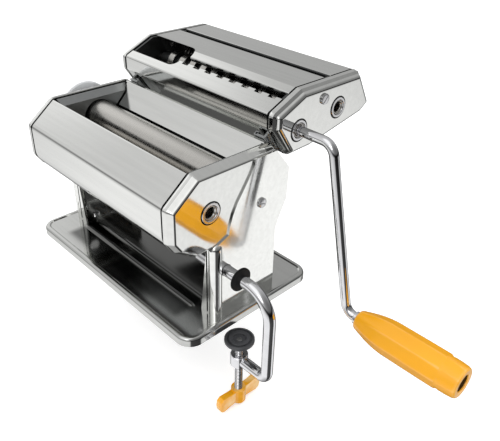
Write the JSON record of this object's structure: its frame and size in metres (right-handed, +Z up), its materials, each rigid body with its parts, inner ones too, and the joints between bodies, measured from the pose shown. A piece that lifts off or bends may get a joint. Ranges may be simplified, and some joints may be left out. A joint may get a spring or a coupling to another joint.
{
  "type": "pasta roller machine",
  "caption": "Hand-cranked pasta machine: smooth sheeting rollers with a thickness knob, slide-on noodle cutter, removable crank and table clamp on a tray base.",
  "frame": {"origin": "middle of the four feet, on the table top", "axes": "+X along the rollers to the crank side, +Y towards the cutter, +Z up"},
  "size_m": [0.3439, 0.1916, 0.2241],
  "materials": {
    "polished_steel": "mirror-polished pressed steel",
    "plain_steel": "plain rolled steel sheet",
    "roller_steel": "fine-ground steel",
    "gear_steel": "oiled steel",
    "zinc_steel": "bright zinc-plated steel",
    "chrome_rod": "bright chrome",
    "knob_grey": "light grey moulded plastic",
    "yellow_plastic": "glossy yellow-orange plastic",
    "dark_plastic": "dark grey moulded plastic",
    "black_rubber": "matt black rubber"
  },
  "bodies": {
    "machine": {"base_plate": "polished_steel", "rubber_feet": "black_rubber", "base_screws": "zinc_steel", "left_stand": "polished_steel", "right_stand": "polished_steel", "left_frame_plate": "plain_steel", "right_frame_plate": "plain_steel", "left_end_cap": "polished_steel", "right_end_cap": "polished_steel", "front_cover": "polished_steel", "rear_hopper_plate": "polished_steel", "rear_cover": "polished_steel", "hopper_cheeks": "plain_steel", "roller_scrapers": "plain_steel", "tie_rods": "plain_steel", "tie_rod_screws": "zinc_steel", "drive_bushes": "zinc_steel", "regulator_bushes": "zinc_steel", "dial_plate": "plain_steel", "cutter_rails": "plain_steel", "stand_screws": "zinc_steel", "clamp_socket": "zinc_steel"},
    "drive": {"drive_roller": "roller_steel", "drive_gear": "gear_steel"},
    "regulator": {"regulator_axle": "zinc_steel", "knob_screw": "zinc_steel"},
    "knob": {"thickness_knob": "knob_grey", "detent_pin": "zinc_steel", "knob_spring": "zinc_steel"},
    "adjustable": {"adjustable_roller": "roller_steel", "adjustable_gear": "gear_steel"},
    "cutter": {"left_cutter_cap": "polished_steel", "right_cutter_cap": "polished_steel", "cutter_plates": "plain_steel", "cutter_front_cover": "polished_steel", "cutter_centre_cover": "polished_steel", "cutter_rear_cover": "polished_steel", "cutter_tie_rods": "plain_steel", "cutter_screws": "zinc_steel", "cutter_bushes": "zinc_steel", "wide_combs": "plain_steel", "thin_combs": "plain_steel", "cutter_tongues": "plain_steel"},
    "wide_drive": {"wide_drive_roller": "roller_steel", "wide_drive_gear": "gear_steel"},
    "wide_idle": {"wide_idle_roller": "roller_steel", "wide_idle_gear": "gear_steel"},
    "thin_drive": {"thin_drive_roller": "roller_steel", "thin_drive_gear": "gear_steel"},
    "thin_idle": {"thin_idle_roller": "roller_steel", "thin_idle_gear": "gear_steel"},
    "crank": {"crank_rod": "chrome_rod", "grip_rivet": "zinc_steel"},
    "grip": {"crank_grip": "yellow_plastic"},
    "clamp_collar": {"clamp_washer": "black_rubber"},
    "clamp": {"clamp_frame": "chrome_rod"},
    "pad": {"pressure_pad": "dark_plastic"},
    "screw": {"clamp_screw": "zinc_steel", "clamp_wing": "yellow_plastic"}
  },
  "joints": [
    {"name": "main_drive", "type": "hinge", "parent": "machine", "child": "drive", "pos_m": [0, -0.031, 0.0924], "axis": [1, 0, 0], "continuous": true},
    {"name": "thickness_turn", "type": "hinge", "parent": "machine", "child": "regulator", "pos_m": [0, -0.00709, 0.10026], "axis": [1, 0, 0], "range_deg": [0, 150]},
    {"name": "knob_pull", "type": "slide", "parent": "regulator", "child": "knob", "axis": [-1, 0, 0], "range_m": [0, 0.0025], "stiffness_N_per_m": 400, "springref_m": -0.002, "deforming": ["knob_spring"]},
    {"name": "adjustable_spin", "type": "hinge", "parent": "regulator", "child": "adjustable", "pos_m": [0, -0.00614, 0.10057], "axis": [1, 0, 0], "continuous": true},
    {"name": "cutter_slide", "type": "slide", "parent": "machine", "child": "cutter", "axis": [0, -0.5592, 0.829], "range_m": [0, 0.028]},
    {"name": "wide_drive_turn", "type": "hinge", "parent": "cutter", "child": "wide_drive", "pos_m": [0, 0.04765, 0.12564], "axis": [1, 0, 0], "continuous": true},
    {"name": "wide_idle_turn", "type": "hinge", "parent": "cutter", "child": "wide_idle", "pos_m": [0, 0.06318, 0.13255], "axis": [1, 0, 0], "continuous": true},
    {"name": "thin_drive_turn", "type": "hinge", "parent": "cutter", "child": "thin_drive", "pos_m": [0, 0.08815, 0.13174], "axis": [1, 0, 0], "continuous": true},
    {"name": "thin_idle_turn", "type": "hinge", "parent": "cutter", "child": "thin_idle", "pos_m": [0, 0.10368, 0.13865], "axis": [1, 0, 0], "continuous": true},
    {"name": "crank_pull", "type": "slide", "parent": "wide_drive", "child": "crank", "axis": [1, 0, 0], "range_m": [0, 0.03]},
    {"name": "grip_spin", "type": "hinge", "parent": "crank", "child": "grip", "pos_m": [0.2, 0.04765, 0.00314], "axis": [1, 0, 0], "continuous": true},
    {"name": "clamp_pull", "type": "slide", "parent": "machine", "child": "clamp_collar", "axis": [1, 0, 0], "range_m": [0, 0.024]},
    {"name": "clamp_swing", "type": "hinge", "parent": "clamp_collar", "child": "clamp", "pos_m": [0.09, -0.0188, 0.043], "axis": [1, 0, 0], "range_deg": [-10, 10]},
    {"name": "pad_lift", "type": "slide", "parent": "clamp", "child": "pad", "axis": [0, 0, 1], "range_m": [-0.011, 0.005]},
    {"name": "screw_turn", "type": "hinge", "parent": "pad", "child": "screw", "pos_m": [0.105, -0.0188, -0.029], "axis": [0, 0, 1], "range_deg": [-2640, 1200]}
  ],
  "couplings": [
    {"joint": "adjustable_spin", "follows": "main_drive", "ratio": -1},
    {"joint": "wide_idle_turn", "follows": "wide_drive_turn", "ratio": -1},
    {"joint": "thin_idle_turn", "follows": "thin_drive_turn", "ratio": -1},
    {"joint": "screw_turn", "follows": "pad_lift", "rad_per_m": 4188.8}
  ]
}
